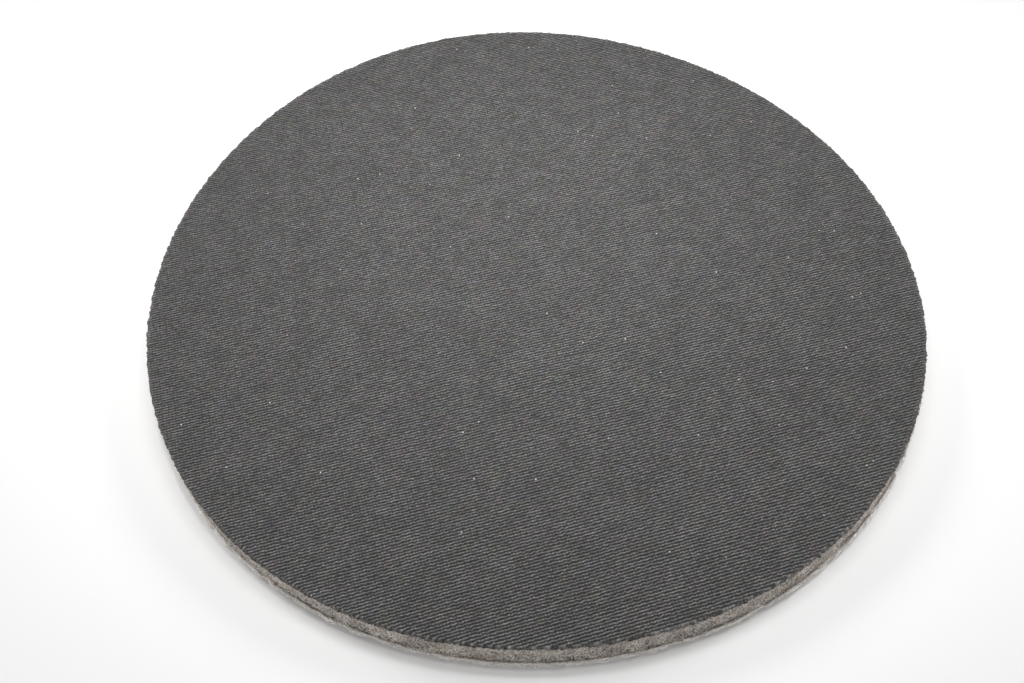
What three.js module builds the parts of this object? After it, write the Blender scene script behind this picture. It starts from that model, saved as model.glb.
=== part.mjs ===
// A foam-backed abrasive finishing pad: a soft round disc that a hook-and-loop backing plate carries.
// It is a bonded laminate. From the surface it rests on upwards: a loop pile that the plate's hooks
// catch, the ground cloth that holds the loops, a bond film, an open-cell foam core, a second bond
// film, a knitted face cloth, and a coat of abrasive grain on the cloth's stitches.
// Millimetres, +Z up. The origin is the centre of the loop side, where the pad rests on a table, and
// +Z points out of the abrasive face. Neighbouring layers meet on one exact plane.
import * as THREE from "three";

// The abrasive face's diameter, and how far the loop side stands out past it all round: the cutting
// die comes from the face's side and spreads the soft stack as it goes down.
const PAD_DIAMETER = 150;
const GRIP_OVERHANG = 0.3;

// Thickness of each layer, from the loop side to the abrasive side.
const PILE_THICKNESS = 0.8;
const GROUND_CLOTH_THICKNESS = 0.3;
const GRIP_BOND_THICKNESS = 0.1;
const FOAM_THICKNESS = 4.3;
const FACE_BOND_THICKNESS = 0.1;
const KNIT_THICKNESS = 0.6;
const GRAIN_COAT_THICKNESS = 0.1;

// The foam's cut wall springs back between the two cloths, so it is hollow by this much.
const FOAM_WALL_HOLLOW = 0.25;
const FOAM_WALL_STEPS = 8;

// The abrasive coat stops short of the cut, where the die cracks the resin off.
const GRAIN_COAT_SETBACK = 0.3;

// Facets round the rim.
const RIM_SEGMENTS = 120;

const faceRadius = PAD_DIAMETER / 2;
const gripRadius = faceRadius + GRIP_OVERHANG;
const coatRadius = faceRadius - GRAIN_COAT_SETBACK;

const finishes = {
  loop: { color: 0xd8d6cf, roughness: 0.95 },
  cloth: { color: 0xc9c6bd, roughness: 0.9 },
  bond: { color: 0xb9b2a6, roughness: 0.6 },
  foam: { color: 0x8d877c, roughness: 0.95 },
  knit: { color: 0x5a5654, roughness: 0.9 },
  grain: { color: 0x3c3b3c, roughness: 0.75 },
};

// A straight-walled layer, as the profile of half its section: out along z = bottom, back along top.
function discProfile(radius, bottom, top) {
  return [
    new THREE.Vector2(0, bottom),
    new THREE.Vector2(radius, bottom),
    new THREE.Vector2(radius, top),
    new THREE.Vector2(0, top),
  ];
}

// The foam's section: its wall runs from the grip's radius to the face's, hollow like a shallow arc.
function foamProfile(bottom, top) {
  const wall = [];
  for (let step = 0; step <= FOAM_WALL_STEPS; step += 1) {
    const rise = step / FOAM_WALL_STEPS;
    const straight = THREE.MathUtils.lerp(gripRadius, faceRadius, rise);
    const hollow = FOAM_WALL_HOLLOW * Math.sin(Math.PI * rise);
    wall.push(new THREE.Vector2(straight - hollow, THREE.MathUtils.lerp(bottom, top, rise)));
  }
  return [new THREE.Vector2(0, bottom), ...wall, new THREE.Vector2(0, top)];
}

// A named layer turned about Z. LatheGeometry turns about Y, so the result is stood up afterwards.
function layerMesh(name, profile, finish) {
  const geometry = new THREE.LatheGeometry(profile, RIM_SEGMENTS);
  geometry.rotateX(Math.PI / 2);
  const mesh = new THREE.Mesh(
    geometry,
    new THREE.MeshStandardMaterial({ ...finish, metalness: 0 }),
  );
  mesh.name = name;
  return mesh;
}

const straight = (radius) => (bottom, top) => discProfile(radius, bottom, top);

// The stack, in order from the loop side: each layer's name, thickness, section and finish. Each one
// starts where the one below it ends.
const layers = [
  ["grip_loop_pile", PILE_THICKNESS, straight(gripRadius), finishes.loop],
  ["grip_ground_cloth", GROUND_CLOTH_THICKNESS, straight(gripRadius), finishes.cloth],
  ["grip_bond_film", GRIP_BOND_THICKNESS, straight(gripRadius), finishes.bond],
  ["foam_core", FOAM_THICKNESS, foamProfile, finishes.foam],
  ["face_bond_film", FACE_BOND_THICKNESS, straight(faceRadius), finishes.bond],
  ["knit_face_cloth", KNIT_THICKNESS, straight(faceRadius), finishes.knit],
  ["abrasive_grain_coat", GRAIN_COAT_THICKNESS, straight(coatRadius), finishes.grain],
];

const pad = new THREE.Group();
let height = 0;
for (const [name, thickness, profile, finish] of layers) {
  const top = height + thickness;
  pad.add(layerMesh(name, profile(height, top), finish));
  height = top;
}

export default pad;
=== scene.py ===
"""Looks of a foam-backed abrasive finishing pad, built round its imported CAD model.

The pad lies face up. From the top down it shows a coat of dark grain on a knitted cloth, the cloth's
cut edge, an open-cell foam core, and the loops of the grip cloth that it rests on. Lengths in this
script are millimetres until mesh_object turns them into metres, and angles in its named values are
degrees. The places and sizes of the lights are metres.
"""

import math

import bpy
import numpy as np
from mathutils import Matrix, Vector


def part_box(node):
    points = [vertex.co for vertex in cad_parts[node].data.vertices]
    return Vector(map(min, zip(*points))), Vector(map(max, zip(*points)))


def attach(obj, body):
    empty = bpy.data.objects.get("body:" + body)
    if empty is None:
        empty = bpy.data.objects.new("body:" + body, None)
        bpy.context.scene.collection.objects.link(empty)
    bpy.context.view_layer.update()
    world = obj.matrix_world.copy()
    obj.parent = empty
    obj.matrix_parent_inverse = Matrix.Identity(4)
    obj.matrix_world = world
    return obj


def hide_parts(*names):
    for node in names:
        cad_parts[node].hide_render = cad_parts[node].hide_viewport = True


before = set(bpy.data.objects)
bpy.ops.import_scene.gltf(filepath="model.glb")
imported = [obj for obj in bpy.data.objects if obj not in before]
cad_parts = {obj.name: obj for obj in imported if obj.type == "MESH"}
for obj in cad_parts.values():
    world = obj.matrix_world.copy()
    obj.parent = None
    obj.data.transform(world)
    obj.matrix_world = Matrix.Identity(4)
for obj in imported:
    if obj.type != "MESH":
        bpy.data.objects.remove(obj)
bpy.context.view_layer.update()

MM = 0.001
SEED = 7


def cad_heights(node):
    """The lowest and highest z of a CAD node."""
    low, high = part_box(node)
    return low.z / MM, high.z / MM


PILE_LOW = cad_heights("grip_loop_pile")[0]
GROUND_LOW, GROUND_HIGH = cad_heights("grip_ground_cloth")
FOAM_LOW, FOAM_HIGH = cad_heights("foam_core")
KNIT_LOW, KNIT_HIGH = cad_heights("knit_face_cloth")
COAT_HIGH = cad_heights("abrasive_grain_coat")[1]
FACE_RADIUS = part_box("knit_face_cloth")[1].x / MM
GRIP_DRAWN_IN = 0.5  # the grip side is this much smaller in radius than the CAD's
GRIP_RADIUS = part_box("grip_loop_pile")[1].x / MM - GRIP_DRAWN_IN

# The outline isn't quite round: lobes, their share of the radius, and where one points.
OUTLINE_LOBES = ((2, 0.0028, 45.0), (3, 0.0100, -16.3), (4, 0.0012, 26.5), (5, 0.0008, 33.9))
# The stack leans a little, so the grip side sits off to one side of the face.
LEAN = np.array([0.45, -0.85])


def outline(angle, radius):
    """The rim's radius at an angle in radians, for a layer of that nominal radius."""
    share = 1.0
    for lobes, size, toward in OUTLINE_LOBES:
        share = share + size * np.cos(lobes * (angle - math.radians(toward)))
    return radius * share


def lean_at(z):
    """How far the stack's centre has leaned at each height, from none at the face to LEAN below."""
    down = np.clip((KNIT_LOW - z) / (KNIT_LOW - PILE_LOW), 0.0, 1.0)
    return down[..., None] * LEAN


# ---------------------------------------------------------------------------------------------
# Noise, meshes and tubes
# ---------------------------------------------------------------------------------------------


CELL_OFFSET = 40000  # makes every cell's number positive
HASH_STEP = np.uint64(0x9E3779B97F4A7C15)
HASH_MIX = np.uint64(0xBF58476D1CE4E5B9)


def hashed(cells, channel):
    """Even random numbers from 0 to 1 for whole-number cells, the same on every run."""
    mixed = np.full(cells.shape[:-1], SEED + 101 * channel, np.uint64)
    for axis in range(cells.shape[-1]):
        number = (cells[..., axis].astype(np.int64) + CELL_OFFSET).astype(np.uint64)
        mixed ^= number * HASH_STEP
        mixed *= HASH_MIX
        mixed ^= mixed >> np.uint64(29)
    return (mixed >> np.uint64(11)).astype(np.float64) / float(1 << 53)


def noise(points, size, channel=0):
    """Smooth noise from -1 to 1 with features of that size, at 1-D, 2-D or 3-D points."""
    places = points / size
    cells = np.floor(places)
    blend = places - cells
    blend = blend * blend * (3 - 2 * blend)
    axes = points.shape[-1]
    total = 0.0
    for corner in range(1 << axes):
        step = np.array([(corner >> axis) & 1 for axis in range(axes)])
        weight = np.prod(np.where(step == 1, blend, 1 - blend), axis=-1)
        total = total + weight * hashed(cells + step, channel)
    return 2 * total - 1


STRUT_WIDTH = 0.45  # of a cell's size


def cell_walls(points, size, channel=0):
    """Open-cell foam at 3-D points: 0 in the middle of a cell and 1 on the struts between cells."""
    places = points / size
    cells = np.floor(places)
    first = np.full(len(points), np.inf)
    second = np.full(len(points), np.inf)
    for neighbour in np.ndindex(3, 3, 3):
        cell = cells + (np.array(neighbour) - 1)
        centre = cell + np.stack([hashed(cell, channel + axis) for axis in range(3)], axis=-1)
        away = np.linalg.norm(places - centre, axis=1)
        second = np.minimum(second, np.maximum(first, away))
        first = np.minimum(first, away)
    return 1 - np.clip((second - first) / STRUT_WIDTH, 0.0, 1.0)


def mesh_object(name, points, faces, values=None, smooth=None):
    """A mesh piece from points in millimetres and lists of faces with the same number of corners.

    values holds named numbers, one for each point, that the piece's material reads. smooth is how
    many of the first faces are shaded smooth, which is all of them when it isn't given.
    """
    mesh = bpy.data.meshes.new(name)
    mesh.vertices.add(len(points))
    mesh.vertices.foreach_set("co", (np.asarray(points, np.float32) * MM).ravel())
    corners = np.concatenate([np.asarray(group, np.int32).ravel() for group in faces])
    sizes = np.concatenate([np.full(len(group), group.shape[1], np.int32) for group in faces])
    mesh.loops.add(len(corners))
    mesh.loops.foreach_set("vertex_index", corners)
    mesh.polygons.add(len(sizes))
    starts = np.concatenate([[0], np.cumsum(sizes)[:-1]])
    mesh.polygons.foreach_set("loop_start", starts.astype(np.int32))
    smooth = len(sizes) if smooth is None else smooth
    mesh.polygons.foreach_set("use_smooth", np.arange(len(sizes)) < smooth)
    for label, numbers in (values or {}).items():
        layer = mesh.attributes.new(label, "FLOAT", "POINT")
        layer.data.foreach_set("value", np.asarray(numbers, np.float32))
    mesh.update(calc_edges=True)
    mesh.validate()
    piece = bpy.data.objects.new(name, mesh)
    bpy.context.scene.collection.objects.link(piece)
    return piece


def ring_quads(first_ring, second_ring):
    """The quads between two closed rings of point numbers."""
    return np.stack([first_ring, np.roll(first_ring, -1), np.roll(second_ring, -1), second_ring], axis=1)


def fan(ring, centre, upwards):
    """Triangles from a closed ring, counter-clockwise from above, to one centre point."""
    after = np.roll(ring, -1)
    middle = np.full(len(ring), centre)
    if upwards:
        return np.stack([ring, after, middle], axis=1)
    return np.stack([after, ring, middle], axis=1)


def tubes(paths, thickness, sides=3):
    """Closed tubes along many paths at once: points, and their quads and end faces.

    paths has the shape (tubes, steps, 3), and thickness is one number or one for each step.
    """
    count, steps, _ = paths.shape
    along = np.gradient(paths, axis=1)
    along /= np.maximum(np.linalg.norm(along, axis=2, keepdims=True), 1e-9)
    helper = np.where(np.abs(along[..., 2:]) > 0.9, [1.0, 0.0, 0.0], [0.0, 0.0, 1.0])
    across = np.cross(along, helper)
    across /= np.maximum(np.linalg.norm(across, axis=2, keepdims=True), 1e-9)
    upward = np.cross(across, along)
    turn = np.arange(sides) * 2 * math.pi / sides
    radius = np.broadcast_to(np.asarray(thickness, float) / 2, (count, steps))[..., None, None]
    around = np.cos(turn)[:, None] * across[:, :, None] + np.sin(turn)[:, None] * upward[:, :, None]
    points = (paths[:, :, None] + radius * around).reshape(-1, 3)
    number = np.arange(count * steps * sides).reshape(count, steps, sides)
    near, far = number[:, :-1], number[:, 1:]
    quads = np.stack([near, far, np.roll(far, -1, axis=2), np.roll(near, -1, axis=2)], axis=-1)
    ends = np.concatenate([number[:, 0], number[:, -1, ::-1]])
    return points, [quads.reshape(-1, 4), ends]


# ---------------------------------------------------------------------------------------------
# The knitted, grain-coated face
# ---------------------------------------------------------------------------------------------

ROW_PITCH = 0.559  # from one row of stitches to the next
STITCH_PAIR = 1.160  # two stitches along a row, one level and one slanted
ACROSS_ROWS = -72.45  # the directions that the two pitches are measured in
ALONG_ROWS = -164.95
RELIEF = 0.14  # from a stitch's crest to the groove between rows
STEPS_PER_ROW = 5
STEPS_PER_PAIR = 6
ROLL_WIDTH = 1.3  # the rim rounds over in this width, by this depth
ROLL_DEPTH = 0.05
RIM_SPREAD = 0.12  # the cut stitches spread a little past the die's line
RAGGED = 0.17  # how far single stitches end before or after that
RAGGED_FINE = 0.08  # how far their fibres do
RIM_SHORTEST = -0.12  # no stitch ends further inside the die's line
COAT_SIDE = 0.45  # how far the coat's closed underside lies below the CAD's top of the cloth
COAT_TAPER = 0.998  # the underside's width, as a share of the rim's
WANDER = 0.10  # how far rows wander from straight
SLACK = 0.05  # how far single stitches sit out of line
STITCH_RUN = 0.75  # stitches in a run that share one height and one shift, on average
RUN_SHIFT = 0.11  # how far a run shifts across its row, as a share of the row pitch


def unit(direction):
    """A flat vector of length 1 at an angle in degrees from +X."""
    return np.array([math.cos(math.radians(direction)), math.sin(math.radians(direction))])


def runs(rows, along, channel):
    """Random numbers from -1 to 1 that change slowly along each row and differ from row to row."""
    place = along / STITCH_RUN
    start = np.floor(place)
    blend = place - start
    blend = blend * blend * (3 - 2 * blend)
    here, after = (hashed(np.stack([rows, start + step], axis=-1), channel) for step in (0, 1))
    return 2 * ((1 - blend) * here + blend * after) - 1


def stitch_relief(places):
    """The height of the stitches at flat places, from 0 in a groove to about 1 on a crest."""
    drift = np.stack([noise(places, 9.0, 3), noise(places, 9.0, 4)], axis=-1)
    slack = np.stack([noise(places, 0.5, 13), noise(places, 0.5, 14)], axis=-1)
    places = places + WANDER * drift + SLACK * slack
    rows = places @ unit(ACROSS_ROWS) / ROW_PITCH
    pairs = places @ unit(ALONG_ROWS) / STITCH_PAIR
    turn = 2 * math.pi * pairs
    # Every other stitch slants, which swings the row's middle line to and fro.
    across = rows - 0.059 * np.cos(turn + 1.47) - 0.023 * np.cos(2 * turn + 2.91)
    row = np.round(across)
    across = across - row + RUN_SHIFT * runs(row, 2 * pairs, 22)
    ridge = 0.5 + 0.5 * np.cos(2 * math.pi * across)
    # The yarn dips at each end of a stitch, and stitches differ a little from each other.
    dip = 0.5 + 0.5 * np.cos(2 * turn - 1.2) + 0.12 * np.cos(turn + 0.5)
    stitch = 0.62 + 0.21 * dip + 0.14 * runs(row, 2 * pairs, 21)
    return ridge**0.9 * stitch + 0.04 * noise(places, 2.5, 7)


def knit_grid():
    """Flat points on a grid that follows the rows, and its quads, filling the face's outline."""
    step_v = ROW_PITCH / STEPS_PER_ROW
    step_u = STITCH_PAIR / STEPS_PER_PAIR
    reach = FACE_RADIUS * 1.03
    steps_v, steps_u = (int(reach / step) for step in (step_v, step_u))
    lines_v, lines_u = (np.arange(-steps, steps + 1) for steps in (steps_v, steps_u))
    v, u = np.meshgrid(lines_v, lines_u, indexing="ij")
    # Along a row, at a right angle to ACROSS_ROWS.
    places = v[..., None] * step_v * unit(ACROSS_ROWS) + u[..., None] * step_u * unit(ACROSS_ROWS - 90)
    number = np.arange(v.size).reshape(v.shape)
    quads = np.stack([number[:-1, :-1], number[:-1, 1:], number[1:, 1:], number[1:, :-1]], axis=-1)
    quads = quads.reshape(-1, 4)
    places = places.reshape(-1, 2)
    middles = places[quads].mean(axis=1)
    rim = outline(np.arctan2(middles[:, 1], middles[:, 0]), FACE_RADIUS)
    return places, quads[np.linalg.norm(middles, axis=1) < rim - 1.2 * step_u]


def rim_ring(quads):
    """The closed ring of point numbers round the outside of a patch of quads."""
    edges = np.concatenate([quads[:, [side, (side + 1) % 4]] for side in range(4)])
    back = {(b, a) for a, b in edges.tolist()}
    follow = {a: b for a, b in edges.tolist() if (a, b) not in back}
    start = next(iter(follow))
    ring = [start]
    while follow[ring[-1]] != start:
        ring.append(follow[ring[-1]])
    return np.array(ring)


def grain_coat():
    """The grain-coated stitches: a thin closed shell whose upper side carries the knit's relief."""
    places, quads = knit_grid()
    used, quads = np.unique(quads, return_inverse=True)
    places, quads = places[used], quads.reshape(-1, 4)
    ring = rim_ring(quads)
    angle = np.arctan2(places[ring, 1], places[ring, 0])
    single, fibres = noise(places[ring], 0.5, 31), noise(places[ring], 0.3, 32)
    past_line = np.maximum(RIM_SPREAD + RAGGED * single + RAGGED_FINE * fibres, RIM_SHORTEST)
    on_rim = outline(angle, FACE_RADIUS) + past_line
    places[ring] = on_rim[:, None] * np.stack([np.cos(angle), np.sin(angle)], axis=1)
    distance = np.linalg.norm(places, axis=1)
    inwards = outline(np.arctan2(places[:, 1], places[:, 0]), FACE_RADIUS) - distance
    relief = stitch_relief(places)
    roll = np.clip(1 - inwards / ROLL_WIDTH, 0, 1)
    height = COAT_HIGH + RELIEF * (relief - 1) - ROLL_DEPTH * roll**2
    top = np.column_stack([places, height])
    under_z = KNIT_HIGH - COAT_SIDE
    under = np.column_stack([places[ring] * COAT_TAPER, np.full(len(ring), under_z)])
    middle = [[0.0, 0.0, under_z]]
    low_ring = len(top) + np.arange(len(ring))
    centre = len(top) + len(ring)
    points = np.concatenate([top, under, middle])
    faces = [quads, ring_quads(low_ring, ring), fan(low_ring, centre, upwards=False)]
    values = {
        "relief": np.concatenate([relief, np.zeros(len(ring) + 1)]),
        "inwards": np.concatenate([inwards, np.zeros(len(ring) + 1)]),
    }
    piece = mesh_object("grain_coated_face", points, faces, values, smooth=len(quads))
    flat_map(piece, len(quads))
    return piece


MAP_SPAN = 2.04  # the map's width, in face radii
MAP_CORNER = 0.06  # where the underside starts in the map
MAP_CORNER_SHARE = 0.1  # how small the underside is drawn there


def flat_map(piece, top_faces):
    """A map of the face as seen from above, with the underside in one corner of it."""
    mesh = piece.data
    layer = mesh.uv_layers.new(name="OFBake")
    corners = np.zeros(len(mesh.loops), np.int32)
    mesh.loops.foreach_get("vertex_index", corners)
    points = np.zeros(len(mesh.vertices) * 3, np.float32)
    mesh.vertices.foreach_get("co", points)
    flat = points.reshape(-1, 3)[corners, :2] / (MAP_SPAN * FACE_RADIUS * MM) + 0.5
    lower = np.arange(len(corners)) >= 4 * top_faces
    flat[lower] = MAP_CORNER + (flat[lower] - 0.5) * MAP_CORNER_SHARE
    layer.data.foreach_set("uv", flat.astype(np.float32).ravel())


# ---------------------------------------------------------------------------------------------
# Layers with a cut wall
# ---------------------------------------------------------------------------------------------


def walled_disc(name, radii, heights, steps, push, values=None):
    """A closed disc whose wall runs through rings of the given radii and heights, from the bottom up.

    steps is the number of points round it. push(points) gives how far each wall point moves
    outwards, and values(points) the named numbers that the material reads.
    """
    angle = np.arange(steps) * 2 * math.pi / steps
    out = np.stack([np.cos(angle), np.sin(angle)], axis=1)
    wall = []
    for radius, z in zip(radii, heights):
        flat = outline(angle, radius)[:, None] * out + lean_at(np.full(steps, z))
        wall.append(np.column_stack([flat, np.full(steps, z)]))
    wall = np.concatenate(wall)
    wall[:, :2] += push(wall)[:, None] * np.tile(out, (len(radii), 1))
    number = np.arange(len(wall)).reshape(len(radii), steps)
    quads = np.concatenate([ring_quads(low, high) for low, high in zip(number[:-1], number[1:])])
    middles = [[0.0, 0.0, heights[0]], [0.0, 0.0, heights[-1]]]
    caps = np.concatenate(
        [fan(number[0], len(wall), upwards=False), fan(number[-1], len(wall) + 1, upwards=True)]
    )
    numbers = {}
    if values:
        numbers = {label: np.concatenate([v, [0.0, 0.0]]) for label, v in values(wall).items()}
    points = np.concatenate([wall, middles])
    return mesh_object(name, points, [quads, caps], numbers, smooth=len(quads))


CELL_SIZE = 0.42  # one cell of the foam
PORE_DEPTH = 0.28
PORE_LEVEL = 0.75  # what lies on the nominal wall, from 0 for a pore's floor to 1 for a strut
FOAM_HOLLOW = 0.25  # how far the wall is drawn in at half its height
FOAM_RINGS = 30
WALL_STEPS = 3200  # points round the foam's wall and the cloth's edge


def foam_core():
    """The open-cell foam: its cut wall is pitted by the cells that the die opened."""
    rise = np.linspace(0, 1, FOAM_RINGS)
    radii = GRIP_RADIUS + (FACE_RADIUS - GRIP_RADIUS) * rise - FOAM_HOLLOW * np.sin(math.pi * rise)
    heights = FOAM_LOW + (FOAM_HIGH - FOAM_LOW) * rise

    def pores(points):
        fine = cell_walls(points, CELL_SIZE, 20)
        coarse = cell_walls(points + 0.3, 1.7 * CELL_SIZE, 30)
        return 0.7 * fine + 0.3 * coarse

    def push(points):
        swell = 0.15 * noise(points[:, :2], 6.0, 8)
        return PORE_DEPTH * (pores(points) - PORE_LEVEL) + swell

    def values(points):
        return {"strut": pores(points)}

    return walled_disc("foam_core_cells", radii, heights, WALL_STEPS, push, values)


EDGE_ROUNDING = 0.12  # of the cloth's edge, at its top and bottom
EDGE_SET_DOWN = 0.22  # from the CAD's top of the cloth, so that it stays under the coat's grooves


def knit_cloth():
    """The knitted cloth under the coat: its cut edge shows the ends of the stitches."""
    rise = np.linspace(0, 1, 7)
    radii = FACE_RADIUS - EDGE_ROUNDING * (2 * rise - 1) ** 2
    heights = KNIT_LOW + (KNIT_HIGH - EDGE_SET_DOWN - KNIT_LOW) * rise

    def push(points):
        return 0.16 * noise(points, 0.32, 11) + 0.1 * noise(points, 0.9, 12)

    return walled_disc("knit_cloth_edge", radii, heights, WALL_STEPS, push)


def bond_film(name, node, radius):
    """A bond film, whose edge is squeezed out a little here and there."""
    low, high = cad_heights(node)
    radii = np.full(2, radius - 0.05)

    def push(points):
        return 0.12 * noise(points, 0.8, 14)

    return walled_disc(name, radii, [low, high], 1200, push)


def ground_cloth():
    """The cloth that holds the grip's loops."""
    rise = np.linspace(0, 1, 4)
    heights = GROUND_LOW + (GROUND_HIGH - GROUND_LOW) * rise

    def push(points):
        return 0.1 * noise(points, 0.5, 16)

    return walled_disc("grip_ground_weave", np.full(4, GRIP_RADIUS), heights, 1500, push)


# ---------------------------------------------------------------------------------------------
# Loops and fuzz
# ---------------------------------------------------------------------------------------------

LOOP_PITCH = 1.25
LOOP_SCATTER = 0.16  # how far loops sit out of their rows
LOOP_LAY = 0.18  # how far they are pushed over
LOOP_ROOT = 0.05  # how far a loop's feet reach into the ground cloth
YARN = 0.09  # the loops' thickness
RIM_YARN = 1.25 * YARN  # the thickness of the loops that splay out at the rim
TUFT_SIZE = 1.3
LOOP_SPLAY = 0.6  # how far the outermost loops reach out from under the edge


def grip_loops():
    """The grip's loop pile: rows of small yarn arches that hang from the ground cloth."""
    rng = np.random.default_rng(SEED)
    reach = int(GRIP_RADIUS / LOOP_PITCH) + 1
    column, row = np.meshgrid(np.arange(-reach, reach + 1), np.arange(-reach, reach + 1))
    feet = np.column_stack([column.ravel() + 0.5 * (row.ravel() % 2), row.ravel() * 0.866]) * LOOP_PITCH
    feet += rng.normal(0, LOOP_SCATTER, feet.shape)
    angle = np.arctan2(feet[:, 1], feet[:, 0])
    feet = feet[np.linalg.norm(feet, axis=1) < outline(angle, GRIP_RADIUS) - 0.3]
    count = len(feet)
    steps = 7
    swing = np.linspace(0, math.pi, steps)
    heading = rng.normal(0, 0.5, count) + math.pi / 2 * rng.integers(0, 2, count)
    width = rng.uniform(0.35, 0.6, count)
    drop = rng.uniform(0.78, 1.0, count) * (GROUND_LOW - PILE_LOW - YARN / 2)
    lay = rng.normal(0, LOOP_LAY, (count, 2))
    along = np.stack([np.cos(heading), np.sin(heading)], axis=1)
    sideways = -np.cos(swing)[None, :, None] * width[:, None, None] * along[:, None]
    hang = np.sin(swing)[None, :] * np.ones((count, 1))
    flat = feet[:, None] + sideways + lay[:, None] * hang[..., None] + LEAN
    paths = np.concatenate([flat, (GROUND_LOW + LOOP_ROOT - drop[:, None] * hang)[..., None]], axis=2)
    points, faces = tubes(paths, YARN)
    return mesh_object("grip_loops", points, faces)


def rim_hairs(name, count, radius, low, high, length, thickness, droop, channel):
    """Short fibres that stand out all round the rim between the heights low and high.

    length is about the longest reach, droop is the mean slope, which is below 0 for fibres that hang,
    and channel picks the random draws.
    """
    rng = np.random.default_rng(SEED + channel)
    steps = 5
    angle = rng.uniform(0, 2 * math.pi, count)
    clump = 0.5 + 0.5 * noise(angle[:, None] * radius, 2.5, channel)
    reach = rng.uniform(0.3, 1.0, count) * length * (0.4 + 0.9 * clump)
    z = rng.uniform(low, high, count)
    heading = angle + rng.normal(0, 0.8, count)
    start = outline(angle, radius - 0.15)[:, None] * np.stack([np.cos(angle), np.sin(angle)], axis=1)
    start = start + lean_at(z)
    share = np.linspace(0, 1, steps)
    curl = rng.normal(0, 0.7, count)
    bearing = heading[:, None] + curl[:, None] * share
    step = np.stack([np.cos(bearing), np.sin(bearing)], axis=2) * (reach / (steps - 1))[:, None, None]
    flat = start[:, None] + np.cumsum(step, axis=1) - step[:, :1]
    lift = rng.normal(droop, 0.35, count)
    height = z[:, None] + (reach * lift)[:, None] * share**1.4
    height = np.maximum(height, PILE_LOW + thickness / 2)
    taper = thickness * (1 - 0.5 * share)
    points, faces = tubes(np.concatenate([flat, height[..., None]], axis=2), taper)
    return mesh_object(name, points, faces)


def rim_loops(name, count):
    """Tufts of the grip's loops that splay out from under its edge."""
    rng = np.random.default_rng(SEED + 61)
    angle = rng.uniform(0, 2 * math.pi, 2 * count)
    tufts = 0.5 + 0.9 * noise(angle[:, None] * GRIP_RADIUS, TUFT_SIZE, 62)
    angle = angle[rng.uniform(0, 1, 2 * count) < tufts]
    count = len(angle)
    steps = 9
    swing = np.linspace(0, math.pi, steps)
    out = np.stack([np.cos(angle), np.sin(angle)], axis=1)
    beside = np.stack([-np.sin(angle), np.cos(angle)], axis=1)
    foot = (outline(angle, GRIP_RADIUS) - 0.25)[:, None] * out + LEAN
    reach = rng.uniform(0.3, 1.0, count) * LOOP_SPLAY
    width = rng.normal(0, 0.45, count)
    slip = rng.normal(0, 0.35, count)
    arch = np.sin(swing)[None, :]
    sideways = width[:, None] * np.cos(swing) + slip[:, None] * arch
    outwards = (reach[:, None] * arch)[..., None] * out[:, None]
    flat = foot[:, None] + outwards + sideways[..., None] * beside[:, None]
    start_z = rng.uniform(GROUND_LOW - 0.1, GROUND_HIGH + 0.35, count)
    tip_z = rng.uniform(PILE_LOW + 0.2, GROUND_HIGH + 0.9, count)
    height = start_z[:, None] + (tip_z - start_z)[:, None] * arch
    points, faces = tubes(np.concatenate([flat, height[..., None]], axis=2), RIM_YARN)
    return mesh_object(name, points, faces)


# ---------------------------------------------------------------------------------------------
# Materials
# ---------------------------------------------------------------------------------------------


class Shader:
    """A small helper that adds and links shader nodes."""

    def __init__(self, name):
        self.material = bpy.data.materials.new(name)
        self.material.use_nodes = True
        self.tree = self.material.node_tree
        self.surface = self.tree.nodes["Principled BSDF"]

    def node(self, kind, **settings):
        made = self.tree.nodes.new(kind)
        for key, value in settings.items():
            setattr(made, key, value)
        return made

    def link(self, value, socket):
        if isinstance(value, bpy.types.NodeSocket):
            self.tree.links.new(value, socket)
        else:
            socket.default_value = value

    def place(self):
        return self.node("ShaderNodeTexCoord").outputs["Object"]

    def number(self, name):
        return self.node("ShaderNodeAttribute", attribute_name=name).outputs["Fac"]

    def math(self, operation, first, second=0.0, clamp=False):
        made = self.node("ShaderNodeMath", operation=operation, use_clamp=clamp)
        self.link(first, made.inputs[0])
        self.link(second, made.inputs[1])
        return made.outputs[0]

    def noise(self, size, detail=2.0, roughness=0.5):
        made = self.node("ShaderNodeTexNoise")
        self.link(self.place(), made.inputs["Vector"])
        made.inputs["Scale"].default_value = 1 / (size * MM)
        made.inputs["Detail"].default_value = detail
        made.inputs["Roughness"].default_value = roughness
        return made.outputs["Fac"]

    def between(self, value, low, high, at_low=0.0, at_high=1.0):
        made = self.node("ShaderNodeMapRange", clamp=True, interpolation_type="SMOOTHSTEP")
        self.link(value, made.inputs["Value"])
        limits = {"From Min": low, "From Max": high, "To Min": at_low, "To Max": at_high}
        for socket, number in limits.items():
            made.inputs[socket].default_value = number
        return made.outputs["Result"]

    def mix(self, share, first, second, blend="MIX"):
        made = self.node("ShaderNodeMix", data_type="RGBA", blend_type=blend)
        self.link(share, made.inputs[0])
        self.link(first, made.inputs[6])
        self.link(second, made.inputs[7])
        return made.outputs[2]

    def bump(self, height, strength, distance):
        made = self.node("ShaderNodeBump")
        made.inputs["Strength"].default_value = strength
        made.inputs["Distance"].default_value = distance * MM
        self.link(height, made.inputs["Height"])
        self.link(made.outputs["Normal"], self.surface.inputs["Normal"])

    def set(self, **values):
        for key, value in values.items():
            self.link(value, self.surface.inputs[key.replace("_", " ")])
        return self.material


def grey(level, warmth=0.0):
    """A linear colour near a grey: warmth above 0 leans to red, and below 0 to blue."""
    return (level * (1 + warmth), level, level * (1 - warmth), 1.0)


CREST_SHARPNESS = 2.15  # how tightly the lighter colour keeps to the crests of the stitches; the darker grooves are partly painted shade
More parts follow.
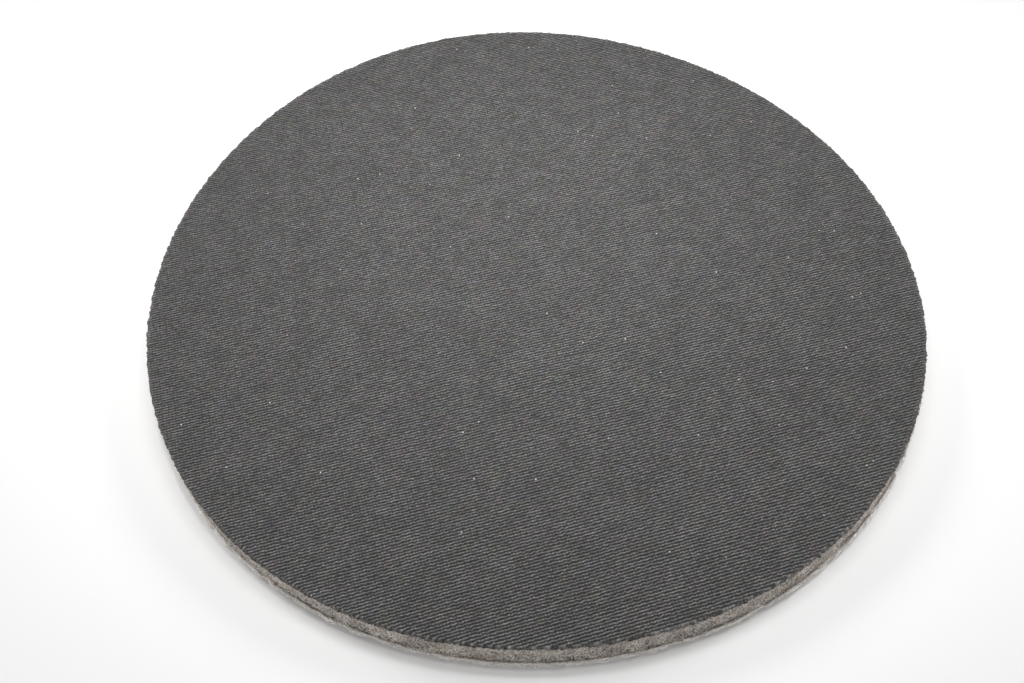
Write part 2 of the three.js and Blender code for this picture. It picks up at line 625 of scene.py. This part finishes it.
# Patch size, the noise levels it fades in between, and the tint it multiplies by.
TINTS = (
    (2.4, 0.45, 0.75, (1.11, 0.975, 0.99)),
    (2.9, 0.45, 0.75, (0.99, 1.02, 0.90)),
    (2.1, 0.45, 0.75, (0.98, 0.975, 1.07)),
)


def coat_material():
    """Dark grain in resin: grooves darker than crests, partly the grain's own colour and partly painted
    shade; faint mottling, pale specks painted as glints, lighter where the rim frays.
    """
    shader = Shader("dark_grain")
    relief = shader.math("MAXIMUM", shader.number("relief"), 0.0)
    crest = shader.math("POWER", relief, CREST_SHARPNESS)
    # Crests lighter and grooves near black: partly the grain's own colour on the crests, partly painted
    # shade in the grooves.
    stitch = shader.mix(crest, grey(0.009), grey(0.25, 0.01))
    colour = tinted(shader, stitch)
    dust = shader.between(shader.noise(0.24, 1.0), 0.28, 0.72, 0.6, 1.45)
    colour = shader.mix(1.0, colour, dust, "MULTIPLY")
    # Rare pale specks: painted glints where single grains catch the light.
    painted_glint_cells = shader.node("ShaderNodeTexVoronoi")
    shader.link(shader.place(), painted_glint_cells.inputs["Vector"])
    painted_glint_cells.inputs["Scale"].default_value = 1 / (0.45 * MM)
    rare = shader.math("GREATER_THAN", painted_glint_cells.outputs["Color"], 0.965)
    small = shader.math("LESS_THAN", painted_glint_cells.outputs["Distance"], 0.3)
    colour = shader.mix(shader.math("MULTIPLY", rare, small), colour, grey(0.5, 0.02))
    near_rim = shader.between(shader.number("inwards"), 0.0, 0.8, 0.12, 0.0)
    tufts = shader.between(shader.noise(0.4, 3.0), 0.35, 0.65, 0.3, 1.0)
    colour = shader.mix(shader.math("MULTIPLY", near_rim, tufts), colour, grey(0.32, 0.07))
    shader.bump(shader.noise(0.06, 2.0, 0.7), 0.5, 0.03)
    return shader.set(
        Base_Color=colour, Roughness=0.62, Specular_IOR_Level=0.25, Sheen_Weight=0.05, Sheen_Roughness=0.5
    )


def tinted(shader, colour):
    """The colour with faint warm and cool patches, as dyed and dusty fibres have."""
    for size, low, high, tint in TINTS:
        patch = shader.mix(shader.between(shader.noise(size), low, high), grey(1.0), (*tint, 1.0))
        colour = shader.mix(1.0, colour, patch, "MULTIPLY")
    return colour


def foam_material():
    """Taupe open-cell foam: pale struts, and pores painted dark as shade inside the cells."""
    shader = Shader("taupe_foam")
    strut = shader.between(shader.number("strut"), 0.15, 0.95)
    browner = shader.between(shader.noise(1.1, 1.0), 0.35, 0.65)
    earth = shader.mix(browner, grey(0.46, 0.07), grey(0.40, 0.14))
    # The pores are painted near black: painted shade inside the open cells.
    colour = shader.mix(strut, grey(0.085, 0.10), earth)
    patch = shader.between(shader.noise(2.5, 3.0), 0.3, 0.7, 0.85, 1.15)
    grain = shader.between(shader.noise(0.2, 1.0), 0.25, 0.75, 0.45, 1.7)
    colour = shader.mix(1.0, shader.mix(1.0, colour, patch, "MULTIPLY"), grain, "MULTIPLY")
    shader.bump(shader.noise(0.12, 3.0, 0.7), 0.8, 0.08)
    return shader.set(Base_Color=colour, Roughness=0.85, Specular_IOR_Level=0.25)


def fibre_material(name, level, warmth, uneven):
    """Fine synthetic yarn, a little uneven in colour along its length."""
    shader = Shader(name)
    shade = shader.between(shader.noise(0.35, 2.0), 0.3, 0.7, 1 - uneven, 1 + 0.4 * uneven)
    colour = shader.mix(1.0, grey(level, warmth), shade, "MULTIPLY")
    shader.bump(shader.noise(0.1, 2.0), 0.6, 0.03)
    return shader.set(Base_Color=colour, Roughness=0.7, Specular_IOR_Level=0.35, Sheen_Weight=0.2)


def film_material():
    """The pale, faintly glossy edge of a bond film."""
    shader = Shader("bond_film")
    paler = shader.between(shader.noise(0.7, 2.0), 0.3, 0.7)
    colour = shader.mix(paler, grey(0.3, 0.07), grey(0.5, 0.06))
    shader.bump(shader.noise(0.2, 2.0), 0.5, 0.04)
    return shader.set(Base_Color=colour, Roughness=0.5)


def floor_material():
    """Plain matt white."""
    shader = Shader("white_floor")
    return shader.set(Base_Color=grey(0.82), Roughness=0.9, Specular_IOR_Level=0.1)


# ---------------------------------------------------------------------------------------------
# The pieces
# ---------------------------------------------------------------------------------------------


def add(piece, material, slot, *nodes):
    """Gives a piece its material and lets it ride, in place of CAD nodes. The slot is not used."""
    piece.data.materials.append(material)
    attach(piece, "root")
    if nodes:
        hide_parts(*nodes)
    return piece


pale_yarn = fibre_material("pale_yarn", 0.93, warmth=0.04, uneven=0.2)
edge_yarn = fibre_material("edge_yarn", 0.30, warmth=0.08, uneven=0.6)
fleck_yarn = fibre_material("fleck_yarn", 0.66, warmth=0.05, uneven=0.5)
film = film_material()

coat = add(grain_coat(), coat_material(), "grain_coat", "abrasive_grain_coat")
cloth = add(knit_cloth(), edge_yarn, "face_knit", "knit_face_cloth")
add(bond_film("face_bond_seam", "face_bond_film", FACE_RADIUS), film, "bond_film", "face_bond_film")
foam = add(foam_core(), foam_material(), "foam", "foam_core")
add(bond_film("grip_bond_seam", "grip_bond_film", GRIP_RADIUS), film, "bond_film", "grip_bond_film")
ground = add(ground_cloth(), pale_yarn, "ground_cloth", "grip_ground_cloth")
loops = add(grip_loops(), pale_yarn, "loop_pile", "grip_loop_pile")
edge_fuzz = add(
    rim_hairs(
        "face_edge_fuzz", 7000, FACE_RADIUS, KNIT_LOW, KNIT_HIGH,
        length=0.55, thickness=0.045, droop=0.2, channel=41,
    ),
    edge_yarn, "face_knit",
)
yarn_ends = add(
    rim_hairs(
        "face_yarn_ends", 1300, FACE_RADIUS + RIM_SPREAD, KNIT_LOW, KNIT_HIGH - 0.1,
        length=0.45, thickness=0.13, droop=0.0, channel=43,
    ),
    fleck_yarn, "face_knit",
)
splayed = add(rim_loops("grip_rim_loops", 4600), pale_yarn, "loop_pile")
grip_fuzz = add(
    rim_hairs(
        "grip_edge_fuzz", 9000, GRIP_RADIUS, PILE_LOW + 0.15, GROUND_HIGH + 0.6,
        length=1.0, thickness=0.06, droop=-0.05, channel=42,
    ),
    pale_yarn, "loop_pile",
)

# ---------------------------------------------------------------------------------------------
# Floor, light and camera
# ---------------------------------------------------------------------------------------------

CAMERA_PLACE = Vector((-0.0595, -1.9023, 2.3867))  # from the face's centre, in face radii
CAMERA_PITCH = 54.30  # degrees below the horizon
CAMERA_ROLL = 0.65  # degrees
CAMERA_LENS = 40.81  # on a sensor 36 mm wide
# Soft lights aimed at the pad: name, place, width and depth in metres, and power in watts.
SOFT_LIGHTS = (
    ("overhead", (0.0, 0.02, 0.25), 0.20, 0.04, 0.24),
    ("left_box", (-0.43, 0.25, 0.30), 0.20, 0.20, 1.45),
    ("right_box", (0.43, 0.25, 0.30), 0.20, 0.20, 1.26),
    ("left_low", (-0.45, -0.21, 0.08), 0.12, 0.12, 0.46),
    ("right_low", (0.45, -0.21, 0.08), 0.12, 0.12, 0.41),
)
# A soft spot from above, whose pool of light fades towards the pad's rim, in the same units.
POOL_PLACE = (0.0, 0.07, 0.6)
POOL_MIDDLE = (0.0, 0.03, 0.0)
POOL_ANGLE = 20.0
POOL_SOFTNESS = 0.06
POOL_POWER = 13.2
AMBIENT = 0.40  # the even light of the pale room


FLOOR_HALF = 3000.0  # half the floor's width


def floor():
    """A plain white floor, far wider than the view."""
    corners = [[x * FLOOR_HALF, y * FLOOR_HALF, 0] for x, y in ((-1, -1), (1, -1), (1, 1), (-1, 1))]
    plane = mesh_object("floor", corners, [np.array([[0, 1, 2, 3]])], smooth=0)
    plane.data.materials.append(floor_material())


def lamp(light, place, target):
    """Puts a light at a place and turns it to a target, both in metres."""
    holder = bpy.data.objects.new(light.name, light)
    holder.location = place
    holder.rotation_mode = "QUATERNION"
    holder.rotation_quaternion = (Vector(place) - Vector(target)).to_track_quat("Z", "Y")
    bpy.context.scene.collection.objects.link(holder)


def lights():
    """Soft lights over and beside the pad, in a pale, evenly lit room."""
    for name, place, width, depth, power in SOFT_LIGHTS:
        light = bpy.data.lights.new(name, "AREA")
        light.shape = "ELLIPSE"
        light.size = width
        light.size_y = depth
        light.energy = power
        lamp(light, place, (0, 0, 0))
    pool = bpy.data.lights.new("pool", "SPOT")
    pool.spot_size = math.radians(POOL_ANGLE)
    pool.spot_blend = 1.0
    pool.shadow_soft_size = POOL_SOFTNESS
    pool.energy = POOL_POWER
    lamp(pool, POOL_PLACE, POOL_MIDDLE)
    world = bpy.data.worlds.new("studio")
    world.use_nodes = True
    world.node_tree.nodes["Background"].inputs["Color"].default_value = (1, 1, 1, 1)
    world.node_tree.nodes["Background"].inputs["Strength"].default_value = AMBIENT
    bpy.context.scene.world = world


def camera():
    """The camera in front of the pad and above it, looking down."""
    data = bpy.data.cameras.new("camera")
    data.lens = CAMERA_LENS
    data.sensor_width = 36.0
    data.clip_start = 0.01
    eye = bpy.data.objects.new("camera", data)
    face_centre = Vector((0, 0, COAT_HIGH * MM))
    place = Matrix.Translation(face_centre + CAMERA_PLACE * FACE_RADIUS * MM)
    tilt = Matrix.Rotation(math.radians(90 - CAMERA_PITCH), 4, "X")
    roll = Matrix.Rotation(math.radians(CAMERA_ROLL), 4, "Z")
    eye.matrix_world = place @ tilt @ roll
    bpy.context.scene.collection.objects.link(eye)
    bpy.context.scene.camera = eye


floor()
lights()
camera()
bpy.context.scene.view_settings.view_transform = "Standard"
